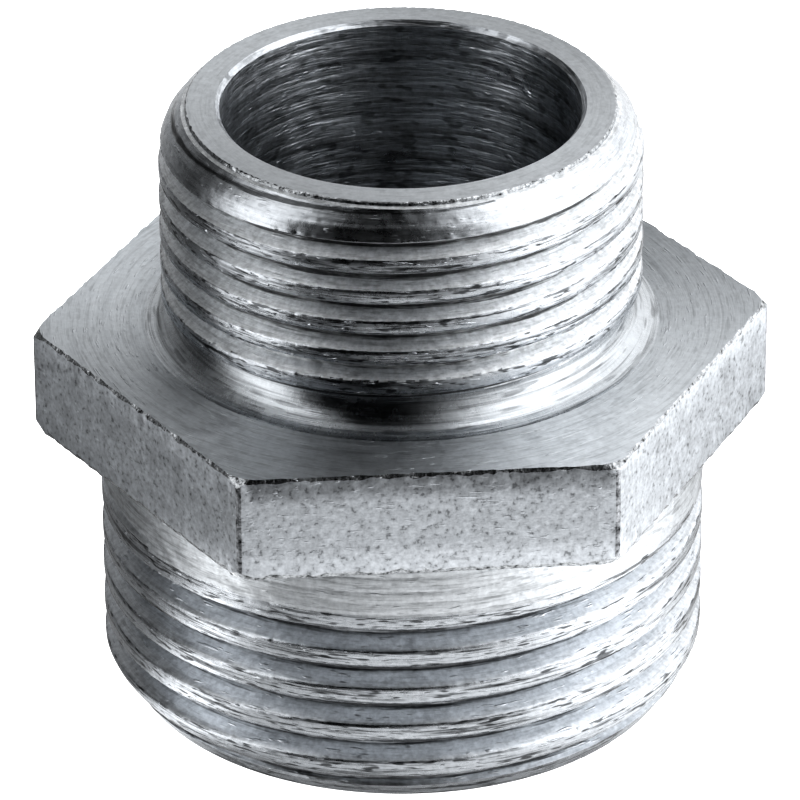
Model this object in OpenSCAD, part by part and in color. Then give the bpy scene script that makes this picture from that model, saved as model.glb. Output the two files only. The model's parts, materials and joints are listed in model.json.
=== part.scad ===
// Reducing hexagon nipple: a larger male pipe thread below, a smaller one above,
// a hexagon between them and a bore right through. One piece, turned from hexagon bar.
// Origin at the centre of the large end's face, +Z towards the small end.

/* [Hexagon] */
// Width across the flats (1 3/8 inch bar)
hex_across_flats = 34.9; // [34:0.1:40]
// Thickness of the hexagon
hex_thickness = 6.1; // [5:0.1:14]
// Radius of the fillet between the small end's neck and the hexagon's top face
neck_fillet_r = 2; // [1:0.1:3]

/* [Large end] */
// Major diameter of the large thread (G 1)
large_major_d = 33.16; // [32.9:0.01:33.4]
// Pitch of the large thread (11 turns per inch)
large_pitch = 2.309; // [1.8:0.001:2.4]
// Length of the large end, from its face to the hexagon
large_end_length = 15.3; // [14:0.1:24]
// Diameter of the flat end face, inside the lead-in chamfer
large_face_d = 30.1; // [29:0.1:31]
// Height of the lead-in chamfer
large_chamfer_h = 2.2; // [1:0.1:2.5]
// Height of the plain shank between the thread and the hexagon
large_shank_h = 3.6; // [2:0.1:5]

/* [Small end] */
// Major diameter of the small thread (G 3/4)
small_major_d = 26.2; // [26:0.01:26.6]
// Pitch of the small thread (14 turns per inch)
small_pitch = 1.814; // [1.3:0.001:1.9]
// Length of the small end, from the hexagon to its face
small_end_length = 13; // [10:0.1:22]
// Diameter of the flat end face, inside the lead-in chamfer
small_face_d = 23.2; // [22:0.1:24]
// Diameter where the lead-in chamfer turns steeper towards the thread
small_chamfer_mid_d = 25.3; // [24.5:0.1:25.8]
// Height of the chamfer's upper part, from that diameter to the face
small_chamfer_upper_h = 1.15; // [0.5:0.05:1.4]
// Height of the whole lead-in chamfer
small_chamfer_h = 2.3; // [1.5:0.1:2.5]

/* [Thread form] */
// Angle between the flanks of a groove
thread_angle = 55; // [54:1:60]
// Width of the crest as a share of the pitch
crest_share = 0.4; // [0.2:0.01:0.45]
// Width of the groove's flat bottom as a share of the pitch
root_share = 0.1; // [0.05:0.01:0.2]

/* [Bore] */
// Diameter of the bore in the small end
small_bore_d = 19.5; // [16:0.1:20.5]
// Diameter of the wider bore in the large end
large_bore_d = 25.5; // [21:0.1:26]
// Depth of the wider bore's straight wall
large_bore_depth = 15.5; // [8:0.1:16]
// Point angle of the drill that leaves the cone between the bores
drill_point_angle = 118; // [110:1:140]
// Size of the broken edge at both mouths of the bore
mouth_chamfer = 0.25; // [0.1:0.05:0.5]

/* [Hidden] */
$fn = 96;

hex_sides = 6;
overcut = 1;
steel = [0.66, 0.67, 0.69];

large_major_r = large_major_d / 2;
small_major_r = small_major_d / 2;
large_bore_r = large_bore_d / 2;
small_bore_r = small_bore_d / 2;

hex_base_z = large_end_length;
hex_top_z = hex_base_z + hex_thickness;
total_h = hex_top_z + small_end_length;

// Each groove runs at the pitch, so the crest, two flanks and the root add up to it.
flank_share = (1 - crest_share - root_share) / 2;
large_depth = flank_share * large_pitch / tan(thread_angle / 2);
small_depth = flank_share * small_pitch / tan(thread_angle / 2);

// The neck between the small thread and the hexagon is turned down to the thread's root.
neck_r = small_major_r - small_depth;

// The large grooves count down from the shank, and the small ones up from the neck.
// The last groove of each is centred no further out than the middle of the lead-in chamfer.
large_groove_top_z = hex_base_z - large_shank_h - groove_half_w(large_pitch);
large_groove_end_z = large_chamfer_h / 2;
large_groove_count = floor((large_groove_top_z - large_groove_end_z) / large_pitch) + 1;
small_groove_base_z = hex_top_z + neck_fillet_r;
small_groove_end_z = total_h - small_chamfer_h / 2;
small_groove_count = floor((small_groove_end_z - small_groove_base_z) / small_pitch) + 1;

bore_cone_h = (large_bore_r - small_bore_r) / tan(drill_point_angle / 2);
large_bore_top_z = large_bore_depth + bore_cone_h;

// Half the width of a groove where it meets the major diameter
function groove_half_w(pitch) = (1 - crest_share) * pitch / 2;

// Half-section of one thread groove, centred on z = 0 and open past the major radius
module groove_section(major_r, pitch, depth) {
    half_mouth = groove_half_w(pitch) + overcut * tan(thread_angle / 2);
    half_root = root_share * pitch / 2;
    polygon([
        [major_r + overcut, -half_mouth],
        [major_r + overcut, half_mouth],
        [major_r - depth, half_root],
        [major_r - depth, -half_root]
    ]);
}

// Half-section of the large end before threading: face, lead-in chamfer and shank
module large_end_section() {
    polygon([
        [0, 0],
        [large_face_d / 2, 0],
        [large_major_r, large_chamfer_h],
        [large_major_r, hex_base_z + overcut],
        [0, hex_base_z + overcut]
    ]);
}

// Half-section of the small end before threading: neck, lead-in chamfer and face
module small_end_section() {
    polygon([
        [0, hex_top_z - overcut],
        [neck_r, hex_top_z - overcut],
        [neck_r, small_groove_base_z],
        [small_major_r, small_groove_base_z],
        [small_major_r, total_h - small_chamfer_h],
        [small_chamfer_mid_d / 2, total_h - small_chamfer_upper_h],
        [small_face_d / 2, total_h],
        [0, total_h]
    ]);
}

// Half-section of the concave fillet that joins the neck to the hexagon
module neck_fillet_section() {
    difference() {
        translate([neck_r - overcut, hex_top_z - overcut])
            square([neck_fillet_r + overcut, neck_fillet_r + overcut]);
        translate([neck_r + neck_fillet_r, hex_top_z + neck_fillet_r])
            circle(r = neck_fillet_r);
    }
}

// Both ends with their thread grooves, turned about Z
module turned_ends() {
    rotate_extrude()
        difference() {
            union() {
                large_end_section();
                small_end_section();
                neck_fillet_section();
            }
            for (i = [0 : large_groove_count - 1])
                translate([0, large_groove_top_z - i * large_pitch])
                    groove_section(large_major_r, large_pitch, large_depth);
            for (i = [0 : small_groove_count - 1])
                translate([0, small_groove_base_z + i * small_pitch])
                    groove_section(small_major_r, small_pitch, small_depth);
        }
}

// Hexagon with two flats facing along Y
module hexagon() {
    translate([0, 0, hex_base_z])
        cylinder(r = hex_across_flats / 2 / cos(180 / hex_sides), h = hex_thickness, $fn = hex_sides);
}

// Stepped bore: wide in the large end, a drill cone, then narrow to the small end
module bore() {
    rotate_extrude()
        polygon([
            [0, -overcut],
            [large_bore_r + mouth_chamfer + overcut, -overcut],
            [large_bore_r, mouth_chamfer],
            [large_bore_r, large_bore_depth],
            [small_bore_r, large_bore_top_z],
            [small_bore_r, total_h - mouth_chamfer],
            [small_bore_r + mouth_chamfer + overcut, total_h + overcut],
            [0, total_h + overcut]
        ]);
}

module reducing_nipple() {
    color(steel)
        difference() {
            union() {
                turned_ends();
                hexagon();
            }
            bore();
        }
}

reducing_nipple();
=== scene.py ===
import json
import math
from types import SimpleNamespace

import bpy
import bmesh
import numpy as np
from mathutils import Matrix, Vector


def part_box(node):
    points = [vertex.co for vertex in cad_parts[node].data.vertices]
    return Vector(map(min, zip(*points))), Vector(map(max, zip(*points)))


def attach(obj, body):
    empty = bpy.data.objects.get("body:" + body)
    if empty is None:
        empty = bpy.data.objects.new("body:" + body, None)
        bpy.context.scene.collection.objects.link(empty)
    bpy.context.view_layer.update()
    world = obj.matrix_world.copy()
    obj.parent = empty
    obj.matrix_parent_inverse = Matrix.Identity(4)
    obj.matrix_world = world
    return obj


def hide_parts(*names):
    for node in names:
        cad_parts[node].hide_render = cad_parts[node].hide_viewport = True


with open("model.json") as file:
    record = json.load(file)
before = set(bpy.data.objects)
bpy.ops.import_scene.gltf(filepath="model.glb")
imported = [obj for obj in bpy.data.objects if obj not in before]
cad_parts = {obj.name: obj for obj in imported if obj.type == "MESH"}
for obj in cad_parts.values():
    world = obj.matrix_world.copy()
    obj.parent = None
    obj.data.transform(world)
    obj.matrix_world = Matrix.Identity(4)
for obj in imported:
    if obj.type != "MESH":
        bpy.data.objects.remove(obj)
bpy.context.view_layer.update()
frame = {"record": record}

# Lengths in this script are millimetres. Blender works in metres.
MM = 0.001
TURN = 2 * math.pi

# Sizes that the frame gives
NODE = "reducing_nipple"
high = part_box(NODE)[1]
mounts = {m["name"]: m for m in frame["record"]["mounts"]}
total_h = high.z / MM
hex_half_flats = high.y / MM
hex_base_z = mounts["large_shoulder"]["pos_m"][2] / MM
hex_top_z = mounts["small_shoulder"]["pos_m"][2] / MM
large_r = mounts["large_thread"]["dims"]["r_mm"]
small_r = mounts["small_thread"]["dims"]["r_mm"]
large_bore_r = mounts["large_bore"]["dims"]["r_mm"]
small_bore_r = mounts["small_bore"]["dims"]["r_mm"]

# Small end: its face, the small step outside it as radii and heights, and the chamfer as
# heights and radii
small_face_r = 11.6
face_break_r = 0.06
face_break_z = 0.05
rim_step = ((small_face_r + 0.02, 34.19), (11.84, 34.12))
rim_end_z = rim_step[1][1]
small_chamfer = ((32.1, small_r), (33.25, 12.65), (34.12, 11.84))

# Neck under the small thread, with the fillet into the hexagon. The rows of the mesh follow
# the helix down to a height within the fillet.
neck_r = 12.23
neck_fillet_r = 2.0
neck_top_z = hex_top_z + neck_fillet_r
helix_end_z = hex_top_z + 0.9

# Large end
large_face_r = 15.05
large_chamfer_h = 2.2
shank_fillet_r = 0.25
fillet_gap = 0.05
edge_break = 0.09

# Bore
large_bore_depth = 15.5
drill_half_angle = math.radians(59)
mouth_chamfer = 0.25

# Hexagon: its rounded corners, and the chamfer that the lathe left on them. The wear of both edges
# is a size and its unevenness, and it reaches across the face and along the sides.
hex_corner_r = 0.35
corner_chamfer_r = 19.72
corner_chamfer_slope = math.tan(math.radians(32))
TOP_WEAR = (0.12, 0.5)
BASE_WEAR = (0.18, 0.28)
WEAR_ACROSS = 0.8
WEAR_ALONG = 1.5

# The azimuth that the camera looks from, and the height of each groove's root line there
FRONT = math.radians(-94.64)
SMALL = {"pitch": 1.814, "front_z": 23.174, "r": small_r}
LARGE = {"pitch": 2.309, "front_z": 1.386, "r": large_r}
CREST_SHARE = 0.40
ROOT_SHARE = 0.10
CREST_EDGE = 0.5 - CREST_SHARE / 2
FLANK_ANGLE = math.radians(27.5)
CREST_ROUND = 0.07
ROOT_ROUND = 0.12

# In turns: where the small groove is a little shallow, where the large groove fades out,
# and where the first small ridge rises from the neck
SHALLOW_AT, SHALLOW_WIDTH, SHALLOW_SHARE = 0.95, 0.25, 0.08
FADE_START, FADE_LENGTH = 4.60, 0.27
RISE_START, RISE_LENGTH = 0.4, 0.25

# Torn crest edges and uneven flanks, as cheap threading dies leave them, and the burr round the face
TORN_DEPTH = 0.022
TORN_SHARE = 0.035
CHATTER = 0.012
BURR = 0.03
RAGGED_WAVES = 14

# Vertices closer than this are joined, and edges sharper than this stay sharp
WELD = 0.002
SHARP_ANGLE = math.radians(34)

# Rows of vertices in one pitch, as shares of the pitch above the root line
PROFILE = (-0.5, -0.42, -0.36, -0.32, -0.29, -0.25, -0.16, -0.08, -0.035,
           0.035, 0.08, 0.16, 0.25, 0.29, 0.32, 0.37)

# Columns round the axis: even steps, and closer ones beside each corner of the hexagon, in degrees
EVEN_COLUMNS = 342
CORNER_STEPS = (-0.7, -0.45, -0.22, 0.22, 0.45, 0.7)
CORNER_CLEAR = 1.1


def from_corner(degrees):
    """Angle in degrees to the nearest corner of the hexagon."""
    return np.abs((degrees + 30.0) % 60.0 - 30.0)


def column_angles():
    """Angles of the mesh's columns over one whole turn, both ends included."""
    corners = np.arange(6) * 60.0
    even = np.arange(EVEN_COLUMNS) * 360.0 / EVEN_COLUMNS
    near = {(corner + step) % 360.0 for corner in corners for step in CORNER_STEPS}
    steps = set(even[from_corner(even) > CORNER_CLEAR]) | set(corners) | near
    return np.radians(np.array(sorted(steps) + [360.0]))


def turns_from_front(angles):
    return ((angles - FRONT) % TURN) / TURN


THETA = column_angles()
FROM_FRONT = turns_from_front(THETA)


# ---------------------------------------------------------------- shape

def ring(radius, z):
    """Points of one row, one for each column."""
    radius = np.broadcast_to(radius, THETA.shape)
    z = np.broadcast_to(z, THETA.shape)
    return np.stack([radius * np.cos(THETA), radius * np.sin(THETA), z], axis=-1)


def rings(*points):
    return [ring(radius, z) for radius, z in points]


def arc(centre_r, centre_z, radius, start, end, steps):
    """Rows along an arc of the section, between two angles in degrees."""
    angles = np.radians(np.linspace(start, end, steps + 1))
    return [ring(centre_r + radius * math.cos(a), centre_z + radius * math.sin(a)) for a in angles]


def between(row_a, row_b, count):
    """Rows spaced evenly between two rows, both left out."""
    return [row_a + (row_b - row_a) * (i + 1) / (count + 1) for i in range(count)]


def ragged(z, seed, slowest, fastest):
    """Unevenness from about -1 to 1 that changes round the axis and along it.
    slowest and fastest are waves in one turn."""
    rng = np.random.default_rng(seed)
    total = 0
    for _ in range(RAGGED_WAVES):
        round_axis = rng.integers(slowest, fastest) * THETA
        total = total + np.sin(round_axis + rng.uniform(2, 9) * z + rng.uniform(0, TURN))
    return total / math.sqrt(RAGGED_WAVES)


def soft_min(a, b, width):
    return 0.5 * (a + b - np.sqrt((a - b) ** 2 + width * width))


def small_envelope(z):
    """Radius of the small end before threading, with its lead-in chamfer."""
    heights, radii = zip((30.0, small_r), *small_chamfer)
    return np.interp(z, heights, radii)


def neck_radius(z):
    """Radius of the neck, which is turned down to the thread's root and flares into the hexagon."""
    below = np.clip(neck_top_z - z, 0, neck_fillet_r)
    return neck_r + neck_fillet_r - np.sqrt(neck_fillet_r**2 - below**2)


def large_envelope(z):
    """Radius of the large end before threading: shank and lead-in chamfer."""
    return large_r - (large_r - large_face_r) * np.clip(1 - z / large_chamfer_h, 0, 1)


def small_run_out(turns):
    """Share of its depth that the small groove lacks: it is shallower for part of its first turn."""
    return SHALLOW_SHARE * np.exp(-((turns - SHALLOW_AT) / SHALLOW_WIDTH) ** 2)


def large_run_out(turns):
    """Share of its depth that the large groove lacks, as it fades before a fifth turn ends."""
    return np.clip((turns - FADE_START) / FADE_LENGTH, 0, 1)


def turns_above(thread, from_front, z):
    """Height above the groove's root line at the front, in turns of the helix."""
    return (z - thread["front_z"]) / thread["pitch"] - from_front


def full_depth(thread):
    return (CREST_EDGE - ROOT_SHARE / 2) * thread["pitch"] / math.tan(FLANK_ANGLE)


def groove_depth(turns, from_front, run_out):
    """How deep the groove is at a point, as a share of its full depth, and how far off its line."""
    nearest = np.round(turns)
    share = np.abs(turns - nearest)
    wedge = soft_min((CREST_EDGE - share) / (CREST_EDGE - ROOT_SHARE / 2), 1.0, ROOT_ROUND)
    return wedge - run_out(nearest + from_front), share


def threaded_radius(thread, envelope, run_out, z):
    """Radius of a threaded end at a height for each column."""
    wedge, share = groove_depth(turns_above(thread, FROM_FRONT, z), FROM_FRONT, run_out)
    radius = soft_min(envelope(z), thread["r"] - wedge * full_depth(thread), CREST_ROUND)
    torn = np.exp(-((share - CREST_EDGE) / TORN_SHARE) ** 2)
    radius = radius - TORN_DEPTH * torn * (1 + ragged(z, seed=5, slowest=60, fastest=170))
    chatter = np.clip(1.5 - share / CREST_EDGE, 0, 1)
    return radius - CHATTER * chatter * ragged(z, seed=6, slowest=20, fastest=90)


def ridge_height(turns, from_front):
    """0 on the neck and 1 on the small thread. The first ridge rises from the neck behind the part."""
    rising = np.clip((from_front - RISE_START) / RISE_LENGTH, 0, 1)
    return np.where(turns < -1, 0, np.where(turns < 0, rising, 1))


def small_radius(z):
    threaded = threaded_radius(SMALL, small_envelope, small_run_out, z)
    neck = neck_radius(z)
    return neck + (threaded - neck) * ridge_height(turns_above(SMALL, FROM_FRONT, z), FROM_FRONT)


def large_radius(z):
    return threaded_radius(LARGE, large_envelope, large_run_out, z)


def helical_rows(thread, radius_at, z_from, z_to):
    """Rows that follow the helix between two heights, from the upper one down."""
    pitch, front_z = thread["pitch"], thread["front_z"]
    lead = pitch * (THETA - FRONT) / TURN
    first = math.floor((z_to - lead.max() - front_z) / pitch) - 1
    last = math.ceil((z_from - lead.min() - front_z) / pitch) + 1
    starts = [front_z + pitch * (turn + share) for turn in range(first, last + 1) for share in PROFILE]
    rows = []
    for start in reversed(starts):
        z = np.clip(start + lead, z_to, z_from)
        if np.ptp(z) > 0:
            rows.append(ring(radius_at(z), z))
    return rows


def hexagon(z):
    """A row round the hexagon, with flats facing along Y and rounded corners."""
    sixth = math.pi / 6
    off_corner = np.abs((THETA + sixth) % (2 * sixth) - sixth)
    centre = (hex_half_flats - hex_corner_r) / math.cos(sixth)
    across = centre * np.sin(off_corner)
    rounded = centre * np.cos(off_corner) + np.sqrt(np.maximum(hex_corner_r**2 - across**2, 0))
    flat = hex_half_flats / np.cos(sixth - off_corner)
    corner_half = sixth - math.atan2(centre * math.sin(sixth), hex_half_flats)
    return ring(np.where(off_corner < corner_half, rounded, flat), z)


def hexagon_edge(z, wear_mm, unevenness, inward):
    """The two rows of a worn edge of the hexagon: on its face and on its sides.
    The lathe took a little off each corner, and wear took an uneven bit off each edge."""
    wear = wear_mm * (1 + unevenness * ragged(z, seed=8, slowest=30, fastest=170))
    outline = hexagon(z)
    reach = np.hypot(outline[:, 0], outline[:, 1])
    on_face = np.minimum(reach - WEAR_ACROSS * wear, corner_chamfer_r)
    drop = WEAR_ALONG * wear + np.maximum(reach - corner_chamfer_r, 0) * corner_chamfer_slope
    return ring(on_face, z), ring(reach, z + inward * drop)


def small_end_rows():
    burr = BURR * ragged(total_h, seed=9, slowest=40, fastest=150)
    rows = rings(
        (small_face_r - face_break_r + burr, total_h),
        (small_face_r + burr, total_h - face_break_z),
        *rim_step)
    rows += helical_rows(SMALL, small_radius, rim_end_z, helix_end_z)
    start = 180 + math.degrees(math.asin((neck_top_z - helix_end_z) / neck_fillet_r))
    rows += arc(neck_r + neck_fillet_r, neck_top_z, neck_fillet_r, start, 270, 9)[1:]
    return rows


def hexagon_rows():
    top_edge, top_side = hexagon_edge(hex_top_z, *TOP_WEAR, -1)
    base_edge, base_side = hexagon_edge(hex_base_z, *BASE_WEAR, 1)
    inner = ring(neck_r + neck_fillet_r, hex_top_z)
    rows = between(inner, top_edge, 3)
    rows += [top_edge, top_side]
    rows += between(top_side, base_side, 3)
    rows += [base_side, base_edge]
    return rows


def large_end_rows():
    shank_top = hex_base_z - shank_fillet_r
    rows = arc(large_r + shank_fillet_r, shank_top, shank_fillet_r, 90, 180, 3)
    rows += helical_rows(LARGE, large_radius, shank_top - fillet_gap, edge_break)
    rows += rings((large_face_r - edge_break, 0))
    return rows


def bore_rows():
    cone_top = large_bore_depth + (large_bore_r - small_bore_r) / math.tan(drill_half_angle)
    mouth = ring(large_bore_r + mouth_chamfer, 0)
    large_start = ring(large_bore_r, mouth_chamfer)
    large_end = ring(large_bore_r, large_bore_depth)
    small_start = ring(small_bore_r, cone_top)
    small_end = ring(small_bore_r, total_h - mouth_chamfer)
    rows = [mouth, large_start]
    rows += between(large_start, large_end, 5)
    rows += [large_end, small_start]
    rows += between(small_start, small_end, 7)
    rows += [small_end, ring(small_bore_r + mouth_chamfer, total_h)]
    return rows


def add_object(name, mesh):
    thing = bpy.data.objects.new(name, mesh)
    bpy.context.scene.collection.objects.link(thing)
    return thing


def make_nipple():
    """Joins the rows of the whole section, outside and bore, into one closed surface."""
    rows = np.array(small_end_rows() + hexagon_rows() + large_end_rows() + bore_rows())
    count, columns = rows.shape[:2]
    index = np.arange(count * columns).reshape(count, columns)
    below = np.roll(index, -1, axis=0)
    quads = np.stack([index[:, :-1], below[:, :-1], below[:, 1:], index[:, 1:]], axis=-1)
    mesh = bpy.data.meshes.new("nipple_surface")
    mesh.from_pydata((rows.reshape(-1, 3) * MM).tolist(), [], quads.reshape(-1, 4).tolist())
    bm = bmesh.new()
    bm.from_mesh(mesh)
    bmesh.ops.remove_doubles(bm, verts=bm.verts, dist=WELD * MM)
    bmesh.ops.recalc_face_normals(bm, faces=bm.faces)
    bm.to_mesh(mesh)
    bm.free()
    mesh.shade_smooth()
    mesh.set_sharp_from_angle(angle=SHARP_ANGLE)
    return add_object("nipple", mesh)


# ---------------------------------------------------------------- materials

# Colours of the plating, from freshly cut flanks to the edges and corners. Some hold painted light: the
# small flanks are paler as painted light, the large flanks darker as painted shade under the hexagon, and
# the worn edges and the corners darker as painted shade.
LIT_FLANK = (0.76, 0.78, 0.80)
PALE = (0.70, 0.725, 0.75)
SHADED_FLANK = (0.62, 0.645, 0.675)
ZINC = (0.585, 0.61, 0.64)
MIDDLE = (0.55, 0.575, 0.60)
RUBBED = (0.46, 0.48, 0.50)
WORN_AND_SHADED = (0.40, 0.415, 0.43)
CORNER_SHADE = (0.30, 0.31, 0.325)

# Tool marks: the radius of the circle that they follow through the noise in one turn, and
# the features in a millimetre along the axis and across it
TURNED_MARKS = (3.5, 5.3, 5.3)
NECK_MARKS = (1.2, 3.2, 3.2)
BORE_MARKS = (2.2, 2.1, 2.1)

# Each finish: colour, roughness, anisotropy, how dark and how deep the tool marks are,
# and how strong the grain, the glints and the pits are
FINISHES = {
    "turned": (ZINC, 0.27, 0.90, 0.75, 0.40, 0.5, 0.5, 0.0, TURNED_MARKS),
    "chamfer": (ZINC, 0.27, 0.90, 0.20, 0.12, 0.4, 0.15, 0.0, TURNED_MARKS),
    "neck": (MIDDLE, 0.27, 0.90, 0.40, 0.40, 0.3, 0.04, 0.0, NECK_MARKS),
    # Small flanks: freshly cut, and paler as painted light from overhead
    "small_cut": (LIT_FLANK, 0.50, 0.50, 0.20, 0.25, 0.8, 0.1, 0.0, TURNED_MARKS),
    # Large flanks: darker as painted shade from the hexagon above them
    "large_cut": (SHADED_FLANK, 0.36, 0.30, 0.15, 0.12, 0.8, 0.3, 0.0, TURNED_MARKS),
    "rim": (RUBBED, 0.38, 0.70, 0.10, 0.08, 0.4, 0.0, 0.0, TURNED_MARKS),
    "faced": (MIDDLE, 0.46, 0.93, 0.14, 0.20, 0.3, 0.3, 0.0, TURNED_MARKS),
    "shank": (PALE, 0.42, 0.70, 0.25, 0.10, 0.6, 0.2, 0.0, TURNED_MARKS),
    "drawn": (ZINC, 0.44, 0.0, 0.0, 0.02, 1.0, 0.1, 0.36, TURNED_MARKS),
    # Rounded corners of the hexagon: darker as painted shade
    "corner": (CORNER_SHADE, 0.40, 0.0, 0.0, 0.02, 4.0, 0.2, 0.0, TURNED_MARKS),
    # Edges of the hexagon and round the small face: worn, and darker as painted shade along them
    "worn_and_shaded_edge": (WORN_AND_SHADED, 0.25, 0.0, 0.0, 0.10, 3.0, 0.4, 0.7, TURNED_MARKS),
    "bored": (ZINC, 0.33, 0.85, 0.45, 1.3, 0.6, 0.3, 0.0, BORE_MARKS),
}

# Values of the noises between which dark marks, dashes and pits fade away, and glints appear
MARK_DARK = (0.36, 0.50)
DASH_DARK = (0.34, 0.42)
PIT_DARK = (0.31, 0.39)
GLINT_BRIGHT = (0.64, 0.74)

# Painted shade: a dark line in the root of each groove, where the crest above hides it from the light. The
# depths between which it fades in, its tone and how uneven it is
ROOT_SHADE_DEPTHS = (0.84, 0.96)
ROOT_SHADE_TONE = 0.20
ROOT_SHADE_UNEVEN = 0.7

# Noises that don't follow the axis, in features a metre
GRAIN_SCALE = 3300.0
PATCH_SCALE = 900.0

# How much the patches change the tone and the roughness, and the broad marks the roughness
PATCH_TONE = 0.4
PATCH_ROUGHNESS = 0.25
BROAD_ROUGHNESS = 0.15

# Height of the bump, and the shares that the broad marks and the grain have in it
BUMP_HEIGHT = 0.12 * MM
BROAD_RELIEF = 1.5
GRAIN_RELIEF = 0.12

# How the finishes are told apart: the steepness of level and upright faces, clearances in
# millimetres, and half of a hexagon's corner in degrees
LEVEL = 0.9
UPRIGHT = 0.2
NEAR = 0.01
GROOVE_CLEAR = 0.08
CORNER_HALF = 0.45
SHANK_FINISH_H = 3.2

# The painted shade line of the first small root begins this share of a turn below it
FIRST_ROOT = 0.07


def add_node(tree, kind, inputs=None, **settings):
    node = tree.nodes.new(kind)
    for name, value in settings.items():
        setattr(node, name, value)
    for name, value in (inputs or {}).items():
        if isinstance(value, bpy.types.NodeSocket):
            tree.links.new(value, node.inputs[name])
        else:
            node.inputs[name].default_value = value
    return node


def maths(tree, operation, first, *rest):
    """A chain of maths nodes that takes each further value in turn."""
    if not rest:
        return add_node(tree, "ShaderNodeMath", {0: first}, operation=operation).outputs[0]
    for value in rest:
        first = add_node(tree, "ShaderNodeMath", {0: first, 1: value}, operation=operation).outputs[0]
    return first


def around_axis(tree, place, circle, along_z, along_r):
    """Coordinates for marks that run round the axis: few features a turn, many along the section."""
    x, y, z = add_node(tree, "ShaderNodeSeparateXYZ", {0: place}).outputs
    square = maths(tree, "ADD", maths(tree, "MULTIPLY", x, x), maths(tree, "MULTIPLY", y, y))
    radius = maths(tree, "SQRT", square)
    vector = add_node(tree, "ShaderNodeCombineXYZ", {
        0: maths(tree, "MULTIPLY", maths(tree, "DIVIDE", x, radius), circle),
        1: maths(tree, "MULTIPLY", maths(tree, "DIVIDE", y, radius), circle),
        2: maths(tree, "MULTIPLY", z, along_z / MM),
    }).outputs[0]
    return vector, maths(tree, "MULTIPLY", radius, along_r / MM)


def noise_4d(tree, coordinates, detail, roughness=0.6):
    vector, w = coordinates
    return add_node(tree, "ShaderNodeTexNoise", {
        "Vector": vector, "W": w, "Scale": 1.0, "Detail": detail, "Roughness": roughness,
    }, noise_dimensions="4D").outputs["Fac"]


def noise_3d(tree, place, scale, detail, roughness=0.6):
    return add_node(tree, "ShaderNodeTexNoise", {
        "Vector": place, "Scale": scale, "Detail": detail, "Roughness": roughness,
    }).outputs["Fac"]


def ramp_between(tree, value, span, to_start, to_end):
    return add_node(tree, "ShaderNodeMapRange", {
        "Value": value, "From Min": span[0], "From Max": span[1], "To Min": to_start, "To Max": to_end,
    }).outputs[0]


def off_centre(tree, value, amount):
    """A noise value moved to vary either side of nothing, by the amount."""
    return maths(tree, "MULTIPLY", maths(tree, "SUBTRACT", value, 0.5), amount)


def steel_noises(tree, marks):
    """The noises of a finish. The first three run round the axis, and the last two are the same all ways."""
    place = add_node(tree, "ShaderNodeTexCoord").outputs["Object"]
    circle, along_z, along_r = marks
    return SimpleNamespace(
        fine=noise_4d(tree, around_axis(tree, place, *marks), 3.0, 0.65),
        broad=noise_4d(tree, around_axis(tree, place, *(0.3 * size for size in marks)), 2.0),
        dashes=noise_4d(tree, around_axis(tree, place, 4.0 * circle, along_z, along_r), 1.0),
        grain=noise_3d(tree, place, GRAIN_SCALE, 2.0),
        patches=noise_3d(tree, place, PATCH_SCALE, 3.0, 0.7),
    )


def steel_tone(tree, noise, dark, grain, pits):
    """Share of the colour that is left by grain, pits, tool marks and the painted shade in the root of a
    groove.
    """
    even = maths(
        tree, "ADD", off_centre(tree, noise.grain, grain),
        off_centre(tree, noise.patches, PATCH_TONE), 1.0)
    depth = add_node(tree, "ShaderNodeAttribute", attribute_name="cut_depth").outputs["Fac"]
    uneven_depth = maths(tree, "ADD", depth, off_centre(tree, noise.fine, ROOT_SHADE_UNEVEN))
    return maths(
        tree, "MULTIPLY", even,
        ramp_between(tree, noise.grain, PIT_DARK, 1.0 - pits, 1.0),
        ramp_between(tree, noise.fine, MARK_DARK, 1.0 - dark, 1.0),
        ramp_between(tree, noise.dashes, DASH_DARK, 1.0 - dark, 1.0),
        ramp_between(tree, uneven_depth, ROOT_SHADE_DEPTHS, 1.0, ROOT_SHADE_TONE))


def steel_bump(tree, noise, relief, grain, glints):
    """Bump of the tool marks, of short raised dashes that glint, and of the grain."""
    waves = maths(tree, "MULTIPLY", noise.broad, BROAD_RELIEF)
    lines = maths(tree, "MULTIPLY", maths(tree, "ADD", noise.fine, waves), relief)
    raised = maths(tree, "MULTIPLY", ramp_between(tree, noise.dashes, GLINT_BRIGHT, 0.0, 1.0), glints)
    height = maths(tree, "ADD", lines, raised, maths(tree, "MULTIPLY", noise.grain, GRAIN_RELIEF * grain))
    bump = add_node(tree, "ShaderNodeBump", {"Height": height, "Strength": 1.0, "Distance": BUMP_HEIGHT})
    return bump.outputs[0]


def steel(name, colour, roughness, anisotropy, dark, relief, grain, glints, pits, marks):
    """Zinc-plated steel with tool marks that run round the axis."""
    material = bpy.data.materials.new(name)
    material.use_nodes = True
    tree = material.node_tree
    shader = tree.nodes["Principled BSDF"]
    noise = steel_noises(tree, marks)
    tone = steel_tone(tree, noise, dark, grain, pits)
    base = add_node(tree, "ShaderNodeVectorMath", {0: colour, 1: tone}, operation="MULTIPLY")
    rough = maths(
        tree, "ADD", off_centre(tree, noise.patches, PATCH_ROUGHNESS),
        off_centre(tree, noise.broad, BROAD_ROUGHNESS), roughness)
    tangent = add_node(tree, "ShaderNodeTangent", direction_type="RADIAL", axis="Z")
    tree.links.new(base.outputs[0], shader.inputs["Base Color"])
    tree.links.new(rough, shader.inputs["Roughness"])
    tree.links.new(tangent.outputs[0], shader.inputs["Tangent"])
    tree.links.new(steel_bump(tree, noise, relief, grain, glints), shader.inputs["Normal"])
    shader.inputs["Metallic"].default_value = 1.0
    shader.inputs["Anisotropic"].default_value = anisotropy
    shader.inputs["Anisotropic Rotation"].default_value = 0.25
    return material


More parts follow.
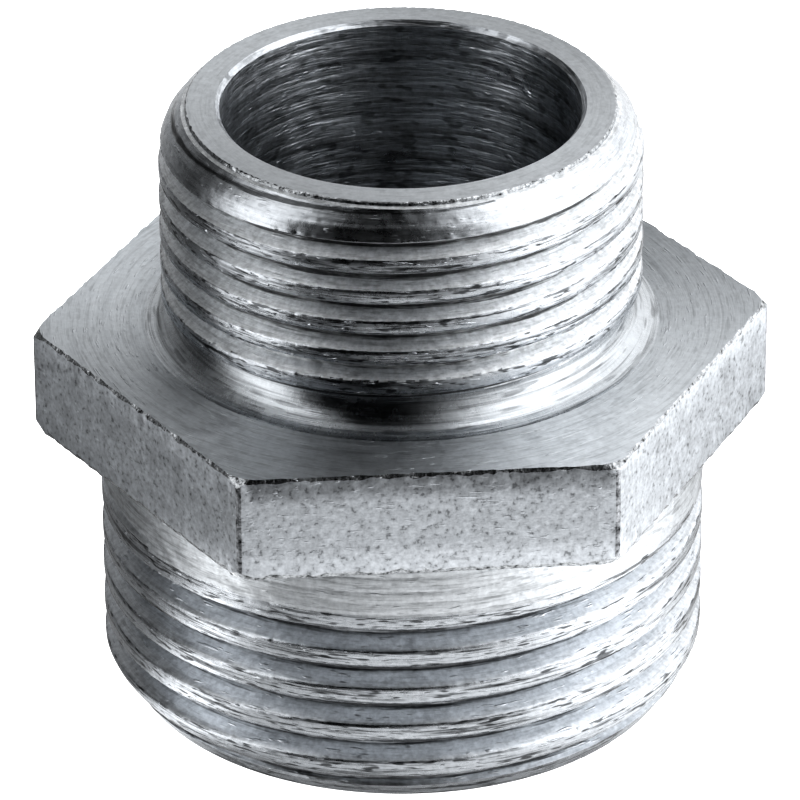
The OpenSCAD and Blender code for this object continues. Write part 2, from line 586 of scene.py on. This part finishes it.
def finish_of_faces(x, y, z, steepness):
    """The finish of each face by where its centre lies and how steeply it faces up or down."""
    radius = np.hypot(x, y)
    at_corner = from_corner(np.degrees(np.arctan2(y, x))) < CORNER_HALF
    upper, lower = z > hex_top_z + NEAR, z < hex_base_z - NEAR
    on_hexagon = ~upper & ~lower
    level, upright = steepness > LEVEL, steepness < UPRIGHT
    envelope = np.where(upper, small_envelope(z), large_envelope(z))
    in_groove = ((upper & (z > SMALL["front_z"])) | lower) & (radius < envelope - GROOVE_CLEAR)
    in_small_bore = radius < small_bore_r + mouth_chamfer
    in_large_bore = ~upper & (radius < large_bore_r + 0.5 * mouth_chamfer)
    beside_face = upper & (z > rim_end_z) & ~level
    rules = {
        "bored": in_small_bore | in_large_bore,
        "rim": level & (z > total_h - NEAR),
        "worn_and_shaded_edge": beside_face | (on_hexagon & ~level & ~upright),
        "corner": on_hexagon & upright & at_corner,
        "drawn": on_hexagon & upright,
        "faced": level & (on_hexagon | (z < NEAR)),
        "shank": lower & (z > hex_base_z - SHANK_FINISH_H) & ~in_groove,
        "small_cut": in_groove & upper,
        "large_cut": in_groove,
        "chamfer": upper & (z > small_chamfer[0][0]),
        "neck": upper & (z < SMALL["front_z"]),
    }
    return np.select(list(rules.values()), list(rules), "turned")


def add_materials(piece):
    for name, values in FINISHES.items():
        piece.data.materials.append(steel("zinc_" + name, *values))
    faces = piece.data.polygons
    centre, normal = np.zeros(3 * len(faces)), np.zeros(3 * len(faces))
    faces.foreach_get("center", centre)
    faces.foreach_get("normal", normal)
    x, y, z = centre.reshape(-1, 3).T / MM
    kinds = finish_of_faces(x, y, z, np.abs(normal.reshape(-1, 3)[:, 2]))
    order = {name: index for index, name in enumerate(FINISHES)}
    faces.foreach_set("material_index", np.array([order[str(kind)] for kind in kinds], dtype=np.int32))


def add_cut_depth(piece):
    """Stores how deep each vertex lies in a thread groove, from 0 at the crest to 1 at the root."""
    points = piece.data.vertices
    place = np.zeros(3 * len(points))
    points.foreach_get("co", place)
    x, y, z = place.reshape(-1, 3).T / MM
    radius = np.hypot(x, y)
    from_front = turns_from_front(np.arctan2(y, x))
    small_turns = turns_above(SMALL, from_front, z)
    small = groove_depth(small_turns, from_front, small_run_out)[0]
    small = small * ridge_height(small_turns + FIRST_ROOT, from_front)
    large = groove_depth(turns_above(LARGE, from_front, z), from_front, large_run_out)[0]
    # Vertices of the bore, the faces and the hexagon lie in no groove.
    on_small = (z > hex_top_z + 0.5) & (z < rim_end_z) & (radius > small_bore_r + 1)
    on_large = (z < hex_base_z - 1) & (z > 0.1) & (radius > large_bore_r + 1)
    depth = np.where(on_small, small, np.where(on_large, large, 0))
    # The materials paint shade into the roots of the grooves from this depth
    layer = piece.data.attributes.new("cut_depth", "FLOAT", "POINT")
    layer.data.foreach_set("value", np.clip(depth, 0, 1))


# ---------------------------------------------------------------- studio

# Camera, in millimetres and degrees
CAMERA_PLACE = (-27.89, -347.15, 211.35)
CAMERA_TARGET = (-0.107, 0.0, 16.077)
CAMERA_ROLL = -0.213
CAMERA_LENS = 327.35

# Brightness of the studio by azimuth, in degrees: a broad softbox on the right,
# a strip on the left, and dark between them in front and behind on the left.
HORIZON = (
    (-180, 1.2), (-172, 1.6), (-160, 1.7), (-152, 1.2), (-146, 0.36), (-140, 0.08), (-132, 0.0),
    (-96, 0.0), (-85, 0.06), (-75, 0.2), (-65, 0.5), (-55, 0.9), (-45, 1.5), (-30, 2.3), (0, 2.0),
    (20, 1.7), (60, 1.3), (85, 1.0), (100, 0.7), (112, 0.42), (120, 0.35),
    (135, 0.22), (148, 0.10), (160, 0.10), (168, 0.35), (174, 0.8), (180, 1.2),
)

# Brightness straight up and down, and the shares of steepness between which it takes over
STEEP_LEVEL = 0.42
STEEP_SPAN = (0.94, 0.995)

# The table near the part, as only the metal sees it: a glowing disc painted with the table's light, a
# painted shadow under the part and a painted reflection of the strip. Radii are in millimetres and azimuths
# in degrees.
GLOW_RADII = (8, 12, 15, 17, 19, 22, 26, 32, 38, 44, 50, 53, 56, 60)
GLOW_Z = -0.02
UNDER_FADE = (12, 21)
STRIP_FADE = (37, 31)
FAR_FADE = (60, 51)
UNDER_LEVEL = 0.06
LEAST_SIDE, MEAN_SIDE, SIDE_SWING = 0.24, 0.42, 0.95
BRIGHT_SIDE = -55
SIDE_FULL_R = 30
STRIP = {"level": 1.9, "azimuth": 207, "width": 12}
RIGHT = {"level": 0.9, "azimuth": 335, "width": 22}

SHEET_SIDES = 96


def add_camera():
    camera_data = bpy.data.cameras.new("camera")
    camera = add_object("camera", camera_data)
    camera_data.sensor_width = 36.0
    camera_data.lens = CAMERA_LENS
    camera_data.clip_start = 0.01
    camera_data.clip_end = 50.0
    place = Vector(CAMERA_PLACE) * MM
    target = Vector(CAMERA_TARGET) * MM
    turned = (target - place).to_track_quat("-Z", "Y").to_matrix().to_4x4()
    roll = Matrix.Rotation(math.radians(CAMERA_ROLL), 4, "Z")
    camera.matrix_world = Matrix.Translation(place) @ turned @ roll
    bpy.context.scene.camera = camera


def turned_sheet(bm, section):
    """Adds a sheet turned about the axis from radii and heights in metres, closed in its middle.
    Returns each of its vertices with its radius and angle."""
    angles = [TURN * i / SHEET_SIDES for i in range(SHEET_SIDES)]
    points = []
    loops = []
    for radius, z in section:
        loop = [bm.verts.new((radius * math.cos(a), radius * math.sin(a), z)) for a in angles]
        points += [(vert, radius, a) for vert, a in zip(loop, angles)]
        loops.append(loop)
    bm.faces.new(loops[0])
    for inner, outer in zip(loops, loops[1:]):
        for i in range(SHEET_SIDES):
            j = (i + 1) % SHEET_SIDES
            bm.faces.new((inner[i], outer[i], outer[j], inner[j]))
    return points


def sheet_object(name, bm, material):
    mesh = bpy.data.meshes.new(name)
    bm.to_mesh(mesh)
    bm.free()
    mesh.materials.append(material)
    return add_object(name, mesh)


def paper():
    material = bpy.data.materials.new("floor_paper")
    material.use_nodes = True
    shader = material.node_tree.nodes["Principled BSDF"]
    shader.inputs["Base Color"].default_value = (0.9, 0.9, 0.9, 1)
    shader.inputs["Roughness"].default_value = 1.0
    shader.inputs["Specular IOR Level"].default_value = 0.0
    shader.inputs["Emission Color"].default_value = (1, 1, 1, 1)
    shader.inputs["Emission Strength"].default_value = 1.4
    return material


def add_floor():
    """A pale sweep: a flat floor that turns up into a wall far behind. Sizes are in metres."""
    start_r, flat_r, bend_r, wall_top = 0.2, 2.0, 0.6, 2.5
    bend = np.radians(range(9, 91, 9))
    section = [(start_r, 0.0), (flat_r, 0.0)]
    section += [(flat_r + bend_r * math.sin(a), bend_r * (1 - math.cos(a))) for a in bend]
    section += [(flat_r + bend_r, wall_top)]
    bm = bmesh.new()
    turned_sheet(bm, section)
    floor = sheet_object("floor", bm, paper())
    floor.data.shade_smooth()
    floor.visible_glossy = False
    floor.visible_shadow = False
    floor.visible_diffuse = False


def fade(value, span):
    """0 at the start of the span and 1 at its end."""
    start, end = span
    return min(max((value - start) / (end - start), 0), 1)


def patch_of_light(degrees, patch):
    off = (degrees - patch["azimuth"]) / patch["width"]
    return patch["level"] * math.exp(-(off**2))


def table_level(radius, angle):
    """Brightness of the table: brightest on the right, with a painted reflection of the strip on the left, a
    painted shadow under the part, and fading out with distance."""
    degrees = math.degrees(angle)
    swing = SIDE_SWING * math.cos(angle - math.radians(BRIGHT_SIDE))
    side = max(LEAST_SIDE, MEAN_SIDE + swing) ** min(radius / SIDE_FULL_R, 1)
    strip = fade(radius, STRIP_FADE) * patch_of_light(degrees, STRIP)
    lit = side + strip + patch_of_light(degrees, RIGHT)
    # Painted shadow under the part
    under = UNDER_LEVEL + (1 - UNDER_LEVEL) * fade(radius, UNDER_FADE)
    return lit * under * fade(radius, FAR_FADE)


def glowing():
    """A material that shines with the level stored at each vertex."""
    material = bpy.data.materials.new("table_glow")
    material.use_nodes = True
    tree = material.node_tree
    tree.nodes.remove(tree.nodes["Principled BSDF"])
    level = add_node(tree, "ShaderNodeAttribute", attribute_name="glow")
    emission = add_node(tree, "ShaderNodeEmission", {"Color": level.outputs["Color"], "Strength": 1.0})
    tree.links.new(emission.outputs[0], tree.nodes["Material Output"].inputs["Surface"])
    return material


def add_table_glow():
    """What the metal sees of the table near it: a disc that only reflections show."""
    bm = bmesh.new()
    glow = bm.verts.layers.float_color.new("glow")
    for vert, radius, angle in turned_sheet(bm, [(radius * MM, GLOW_Z * MM) for radius in GLOW_RADII]):
        level = table_level(radius / MM, angle)
        vert[glow] = (level, level, level, 1)
    disc = sheet_object("table_glow", bm, glowing())
    disc.visible_camera = False
    disc.visible_diffuse = False


def horizon_level(tree, azimuth):
    """Brightness of the horizon at an azimuth, in radians."""
    share = add_node(tree, "ShaderNodeMapRange", {
        "Value": azimuth, "From Min": -math.pi, "From Max": math.pi,
    })
    ramp = add_node(tree, "ShaderNodeValToRGB", {"Fac": share.outputs[0]})
    ramp.color_ramp.interpolation = "LINEAR"
    stops = ramp.color_ramp.elements
    while len(stops) > 1:
        stops.remove(stops[-1])
    brightest = max(level for _, level in HORIZON)
    for i, (degrees, level) in enumerate(HORIZON):
        position = (degrees + 180) / 360
        stop = stops[0] if i == 0 else stops.new(position)
        stop.position = position
        stop.color = (level / brightest,) * 3 + (1,)
    return maths(tree, "MULTIPLY", ramp.outputs[0], brightest)


def add_world():
    world = bpy.data.worlds.new("studio")
    bpy.context.scene.world = world
    world.use_nodes = True
    tree = world.node_tree
    direction = add_node(tree, "ShaderNodeTexCoord").outputs["Generated"]
    x, y, z = add_node(tree, "ShaderNodeSeparateXYZ", {0: direction}).outputs
    level = horizon_level(tree, maths(tree, "ARCTAN2", y, x))
    steep = add_node(tree, "ShaderNodeMapRange", {
        "Value": maths(tree, "ABSOLUTE", z), "From Min": STEEP_SPAN[0], "From Max": STEEP_SPAN[1],
    }, interpolation_type="SMOOTHSTEP").outputs[0]
    mixed = add_node(tree, "ShaderNodeMix", {0: steep, 2: level, 3: STEEP_LEVEL})
    background = tree.nodes["Background"]
    tree.links.new(mixed.outputs[0], background.inputs["Strength"])
    background.inputs["Color"].default_value = (1, 1, 1, 1)


add_camera()
nipple = make_nipple()
add_cut_depth(nipple)
add_materials(nipple)
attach(nipple, "root")
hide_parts(NODE)
add_floor()
add_table_glow()
add_world()
bpy.context.scene.view_settings.view_transform = "Standard"
bpy.context.scene.view_settings.look = "High Contrast"
bpy.context.scene.view_settings.exposure = -0.35
